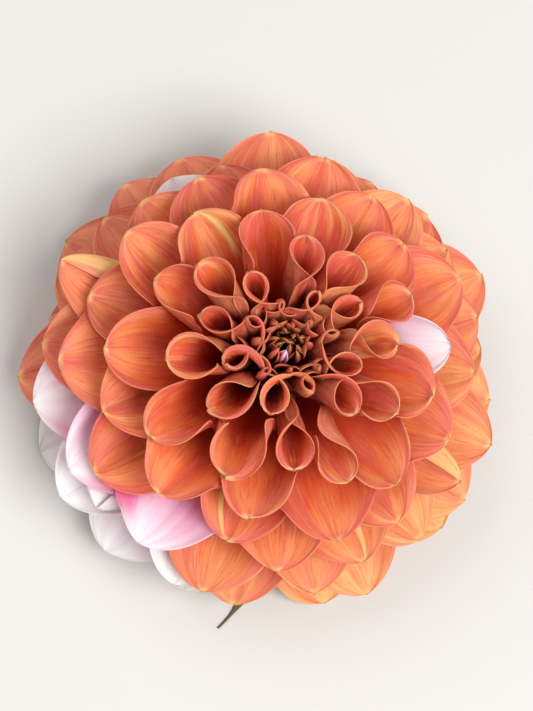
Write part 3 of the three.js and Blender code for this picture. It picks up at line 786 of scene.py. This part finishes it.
def orange_petals():
    """Orange from a dark foot, partly painted shade, to a pale point, with rose, peach and yellow along
    the petal.
    """
    shader = Shader(
        "petal_orange", Subsurface_Weight=0.2, Subsurface_Scale=0.002, Specular_IOR_Level=0.25
    )
    shader.surface.inputs["Subsurface Radius"].default_value = (1, 0.35, 0.15)
    along, across, upper = shader.attribute("blade")
    edge, rib, _ = shader.attribute("form")
    rank, tone, peach_and_painted_light = shader.attribute("floret")
    stripe, stripe_place, far_side_painted_shade = shader.attribute("mark")
    offset, _, _ = shader.attribute("tint")
    blotch = shader.noise(shader.times(across, 1.6), shader.times(along, 2.4), offset)
    wash = shader.noise(shader.times(across, 1.8), shader.times(along, 2.0), shader.add(offset, 3), 3)
    streak = shader.noise(shader.times(across, 7), shader.times(along, 2.2), offset, 4, 0.65)
    flame = shader.noise(shader.times(across, 4), shader.times(along, 1.3), shader.add(offset, 9), 5, 0.7)
    dash = shader.noise(shader.times(across, 20), shader.times(along, 5), shader.add(offset, 5), 4, 0.7)

    # From the foot to the tip the colour lightens, partly the petal's own deeper red at its foot and
    # partly painted shade; in a cup the painted shade at the foot reaches far up.
    steep = shader.add(shader.times(shader.less(along, 0.85), 2.2), 0.4)
    cup = shader.step(rank, 0.18, 0.42, 0.85, 0.0)
    depth = shader.add(along, shader.times(cup, shader.less(steep, along)))
    depth = shader.add(depth, shader.times(shader.less(blotch, 0.5), 0.4))
    front = shader.ramp(depth, [
        (0.0, srgb(140, 22, 8)),
        (0.35, srgb(178, 42, 16)),
        (0.55, srgb(210, 74, 34)),
        (0.75, srgb(228, 102, 54)),
        (0.95, srgb(236, 136, 86)),
    ])
    rose = shader.mix(shader.step(tone, -0.6, 0.8), srgb(214, 88, 92), srgb(228, 116, 94))
    margin = shader.times(
        shader.step(shader.less(edge, shader.times(streak, 6.0)), 0.8, -3.0),
        shader.step(along, 0.45, 0.8, 0, 0.9),
    )
    front = shader.mix(margin, front, rose)
    # The back also darkens towards the foot, by the same painted shade.
    back = shader.ramp(depth, [
        (0.1, srgb(112, 26, 14)),
        (0.5, srgb(172, 62, 38)),
        (0.9, srgb(218, 106, 72)),
    ])
    veins = shader.times(shader.step(streak, 0.42, 0.64), shader.step(along, 0.35, 0.8, 0, 0.6))
    back = shader.mix(veins, back, srgb(222, 136, 112))
    back = shader.mix(shader.step(rank, 0.45, 0.6), back, srgb(246, 196, 118))
    colour = shader.mix(upper, back, front)

    # Washes of rose and peach, then flames of yellow, wider towards the tip; the peach washes, the flames
    # and the pale streaks grow stronger on the side towards the key light, as painted light.
    late = shader.step(along, 0.4, 0.85)
    rosy = shader.times(shader.step(wash, 0.53, 0.38, 0, 0.65), late)
    colour = shader.mix(rosy, colour, srgb(220, 104, 94))
    warm = shader.add(shader.step(tone, -0.3, 0.9, 0.2, 0.6), shader.times(peach_and_painted_light, 0.6))
    peachy = shader.times(shader.step(wash, 0.48, 0.64), late, warm)
    colour = shader.mix(peachy, colour, srgb(248, 172, 112))
    flames = shader.times(shader.step(flame, 0.5, 0.66), shader.step(along, 0.45, 0.95), warm)
    colour = shader.mix(flames, colour, srgb(252, 200, 116))
    # Painted light: outer petals towards the key light, and a few others at random, turn paler.
    pale_and_painted_light = shader.times(peach_and_painted_light, shader.step(streak, 0.3, 0.7, 0.3, 0.8))
    colour = shader.mix(pale_and_painted_light, colour, srgb(250, 182, 120))
    # Painted shade: a duller rose tint on the outer petals of the side away from the key light.
    colour = shader.mix(shader.times(far_side_painted_shade, 0.5), colour, srgb(228, 140, 118))

    # Ridges are paler than the furrows between them, as painted highlight on the ridges and painted shade
    # in the furrows, with broken streaks on both.
    ridge_highlight = shader.times(shader.step(rib, 0.0, 0.5, 0, 0.25), late)
    colour = shader.mix(ridge_highlight, colour, srgb(248, 172, 122))
    furrow_shade = shader.times(shader.step(rib, 0.0, -0.5, 0, 0.35), late)
    colour = shader.mix(furrow_shade, colour, srgb(192, 70, 54))
    dark = shader.times(shader.step(dash, 0.53, 0.68, 0, 0.55), shader.step(along, 0.3, 0.7))
    colour = shader.mix(dark, colour, srgb(196, 62, 56))
    light = shader.times(shader.step(dash, 0.46, 0.32, 0, 0.4), shader.step(along, 0.4, 0.8))
    colour = shader.mix(light, colour, srgb(250, 178, 124))
    ragged = shader.add(across, shader.times(shader.less(streak, 0.5), 0.25))
    band = shader.math("ABSOLUTE", shader.less(ragged, stripe_place))
    band = shader.times(shader.step(band, 0.1, 0.03), stripe, shader.step(along, 0.55, 0.75, 0, 0.75))
    colour = shader.mix(band, colour, srgb(255, 218, 140))
    # Painted highlight: a thin paler rim along the edges of the cups and inner petals.
    lip = shader.times(shader.step(edge, 0.45, 0.05), shader.step(rank, 0.62, 0.35, 0.35, 0.4))
    colour = shader.mix(lip, colour, srgb(238, 140, 98))
    # A pale point at each tip, and over the very end a painted highlight that covers the shade of its
    # narrow end.
    point_and_lit_end = shader.math(
        "MAXIMUM",
        shader.step(shader.math("ABSOLUTE", across), 0.6, 0.2),
        shader.step(along, 0.98, 0.993),
    )
    point = shader.times(shader.step(along, 0.955, 0.99), point_and_lit_end, shader.step(rank, 0.15, 0.4, 0, 0.75))
    colour = shader.mix(point, colour, srgb(248, 200, 132))
    shader.drive("Base Color", colour)
    shader.drive("Roughness", shader.step(streak, 0.2, 0.8, 0.62, 0.5))
    shader.bump(shader.add(dash, streak), 0.25, 0.0002)
    return shader.material


def bud_florets():
    """The closed florets in the middle: tan at their points, and maroon towards their feet, which is
    painted shade in the gaps between them.
    """
    shader = Shader("bud", Subsurface_Weight=0.15, Subsurface_Scale=0.001, Roughness=0.55)
    along, across, upper = shader.attribute("blade")
    offset, _, _ = shader.attribute("tint")
    vein = shader.noise(shader.times(across, 14), shader.times(along, 3), offset, 2, 0.6)
    # Painted shade: the buds darken to maroon towards their feet.
    colour = shader.ramp(along, [
        (0.55, srgb(92, 18, 12)),
        (0.72, srgb(140, 52, 34)),
        (0.86, srgb(176, 90, 54)),
        (0.97, srgb(196, 134, 76)),
    ])
    colour = shader.mix(shader.step(vein, 0.5, 0.3, 0, 0.6), colour, srgb(132, 42, 36))
    colour = shader.mix(upper, colour, srgb(96, 14, 8))
    shader.drive("Base Color", colour)
    shader.bump(vein, 0.3, 0.0002)
    return shader.material


def white_petals():
    """White with fine grey veins, and pink from the foot and along a margin."""
    shader = Shader(
        "petal_white", Subsurface_Weight=0.25, Subsurface_Scale=0.002, Specular_IOR_Level=0.3
    )
    shader.surface.inputs["Subsurface Radius"].default_value = (1, 0.7, 0.7)
    along, across, _ = shader.attribute("blade")
    _, rib, _ = shader.attribute("form")
    offset, flushed, side = shader.attribute("tint")
    streak = shader.noise(shader.times(across, 6), shader.times(along, 1.4), offset, 3, 0.6)
    vein = shader.noise(shader.times(across, 30), shader.times(along, 2.0), offset, 2, 0.6)
    depth = shader.add(along, shader.times(shader.less(streak, 0.5), 0.35))
    colour = shader.ramp(depth, [
        (0.25, srgb(206, 104, 156)),
        (0.5, srgb(228, 168, 202)),
        (0.72, srgb(246, 222, 232)),
        (0.95, srgb(246, 241, 240)),
    ])

    # Some petals are flushed from the foot and along one margin.
    foot = shader.times(flushed, shader.step(depth, 1.15, 0.55, 0, 0.9))
    colour = shader.mix(foot, colour, srgb(228, 118, 176))
    beside = shader.add(shader.times(across, side, 2.5), streak)
    margin = shader.times(shader.step(beside, 0.8, 1.3), flushed, shader.step(along, 1.0, 0.8, 0.1, 1.0))
    colour = shader.mix(margin, colour, srgb(226, 66, 132))

    # A few warm streaks, grey in the veins, and grey painted shade in the furrows.
    warm = shader.times(shader.step(streak, 0.62, 0.74), shader.step(along, 0.5, 0.9, 0, 0.35))
    colour = shader.mix(warm, colour, srgb(240, 170, 160))
    dark = shader.times(shader.step(vein, 0.48, 0.3), shader.step(along, 0.3, 0.7, 0, 0.18))
    colour = shader.mix(dark, colour, srgb(196, 176, 190))
    colour = shader.mix(shader.step(rib, 0.0, -0.5, 0, 0.25), colour, srgb(206, 188, 200))
    shader.drive("Base Color", colour)
    shader.drive("Roughness", shader.step(streak, 0.2, 0.8, 0.6, 0.48))
    shader.bump(shader.add(vein, streak), 0.25, 0.00025)
    return shader.material


def plant_surface(name, colour, vein_colour):
    """A plain matt plant surface with fine veins along it."""
    shader = Shader(name, Roughness=0.65)
    along, across, _ = shader.attribute("blade")
    vein = shader.noise(shader.times(across, 14), shader.times(along, 3), 0.5, 3, 0.6)
    shader.drive("Base Color", shader.mix(shader.step(vein, 0.45, 0.65), colour, vein_colour))
    shader.bump(vein, 0.4, 0.0003)
    return shader.material


# ------------------------------------------------------------------ the bloom
ROWS = [                        # each piece holds the florets up to this number
    (BUD_COUNT, "buds_rolled"),
    (QUILL_COUNT, "petals_quilled"),
    (56, "petals_cupped"),
    (88, "petals_middle"),
    (FLORET_COUNT, "petals_outer"),
]


def piece_of(floret):
    """The piece that a floret belongs to."""
    alone = {
        LONE_SIDE: "floret_white_side_petal",
        LONE_BACK: "floret_white_back_petal",
        LONE_MIDDLE: "petal_white_middle",
    }
    if floret.floret in alone:
        return alone[floret.floret]
    if floret.is_white():
        return "petals_white"
    return next(name for end, name in ROWS if floret.floret < end)


def add_bloom(florets, sheets):
    """The florets' pieces; the core goes with the quills."""
    orange, white, bud = orange_petals(), white_petals(), bud_florets()
    pieces = [
        ("buds_rolled", bud, "bud", ["buds"]),
        ("petals_quilled", orange, "petal_orange", ["florets_orange"]),
        ("petals_cupped", orange, "petal_orange", ["florets_orange"]),
        ("petals_middle", orange, "petal_orange", ["florets_orange"]),
        ("petals_outer", orange, "petal_orange", ["florets_orange"]),
        ("petals_white", white, "petal_white", ["florets_white"]),
        ("petal_white_middle", white, "petal_white", []),
        ("floret_white_side_petal", white, "petal_white", ["floret_white_side"]),
        ("floret_white_back_petal", white, "petal_white", ["floret_white_back"]),
    ]
    for name, material, slot, nodes in pieces:
        members = [floret for floret in florets if piece_of(floret) == name]
        bodies = [sheets[floret.floret] for floret in members]
        marks = [marks_of(floret) for floret in members]
        if name == "petals_quilled":
            bodies.append(core())
            marks.append(NO_MARKS)
        mesh_object(name, bodies, material, nodes, marks)


def add_greens():
    """The stem, both rings of bracts and the leaf."""
    outer_path = [(5, 9.3), (14, 8.2), (17.5, 1.4)]
    inner_path = [(COLLAR_RADIUS + 1, 11), (18, 9.6), (26, 7.6)]
    outer = bracts(count=5, first=20, path=outer_path, half_width=3, roll=29)
    inner = bracts(count=8, first=5, path=inner_path, half_width=4, roll=23)
    fresh = plant_surface("stem", srgb(96, 124, 62), srgb(150, 160, 92))
    thin = plant_surface("bract", srgb(180, 178, 104), srgb(214, 200, 150))
    dry = plant_surface("leaf", srgb(84, 74, 48), srgb(128, 112, 76))
    stem = Lathe(STEM_OUTLINE)
    mesh_object("stem_and_bracts", [stem, *outer], fresh, ["stem_and_outer_bracts"])
    mesh_object("bracts_thin", inner, thin, ["inner_bracts"])
    mesh_object("leaf_dry", [leaf()], dry, ["leaf"])


# ------------------------------------------------------- floor, light, camera
def add_floor(size=3):
    """A plain pale floor, under the petals' tips."""
    bpy.ops.mesh.primitive_plane_add(size=size, location=(0, 0, 0))
    floor = bpy.context.object
    floor.name = "floor"
    shader = Shader("floor", Roughness=0.75)
    shader.surface.inputs["Base Color"].default_value = srgb(214, 212, 208)
    floor.data.materials.append(shader.material)


def add_light(name, place, size, power):
    """A round soft light that faces the origin."""
    light = bpy.data.lights.new(name, "AREA")
    light.shape = "DISK"
    light.size = size
    light.energy = power
    obj = bpy.data.objects.new(name, light)
    bpy.context.scene.collection.objects.link(obj)
    obj.location = place
    obj.rotation_euler = (Vector((0, 0, 0)) - Vector(place)).to_track_quat("-Z", "Y").to_euler()


def add_world(strength=0.4):
    """Even white light from all round."""
    world = bpy.data.worlds.new("studio")
    world.use_nodes = True
    background = world.node_tree.nodes["Background"]
    background.inputs["Color"].default_value = (1, 1, 1, 1)
    background.inputs["Strength"].default_value = strength
    bpy.context.scene.world = world
    bpy.context.scene.view_settings.view_transform = "Standard"


CAMERA_AZIMUTH = -41
CAMERA_ELEVATION = 75
CAMERA_DISTANCE = 0.465
CAMERA_LENS = 109
CAMERA_TARGET = (-0.0006, 0.0018, 0.022)     # right, up in the picture, and height


def add_camera():
    """The camera looks steeply down, with the top of its picture towards +Y."""
    turn = math.radians(CAMERA_AZIMUTH)
    rise = math.radians(CAMERA_ELEVATION)
    back = Vector((
        math.sin(turn) * math.cos(rise),
        -math.cos(turn) * math.cos(rise),
        math.sin(rise),
    ))
    right = Vector((0, 1, 0)).cross(back).normalized()
    up = back.cross(right)
    data = bpy.data.cameras.new("camera")
    data.lens = CAMERA_LENS
    camera = bpy.data.objects.new("camera", data)
    bpy.context.scene.collection.objects.link(camera)
    aside, ahead, height = CAMERA_TARGET
    target = Vector((AXIS.x, AXIS.y, height)) + right * aside + up * ahead
    place = target + back * CAMERA_DISTANCE
    camera.matrix_world = Matrix((
        (right.x, up.x, back.x, place.x),
        (right.y, up.y, back.y, place.y),
        (right.z, up.z, back.z, place.z),
        (0, 0, 0, 1),
    ))
    bpy.context.scene.camera = camera


florets = [Floret(n) for n in range(FLORET_COUNT)]
nest = Nest()
sheets = [petal(floret, nest) for floret in florets]
add_bloom(florets, sheets)
add_greens()
add_floor()
add_light("key", place=(0.35, -0.35, 0.85), size=0.7, power=9.4)
add_light("fill", place=(-0.5, 0.4, 0.7), size=0.9, power=3.2)
add_world()
add_camera()
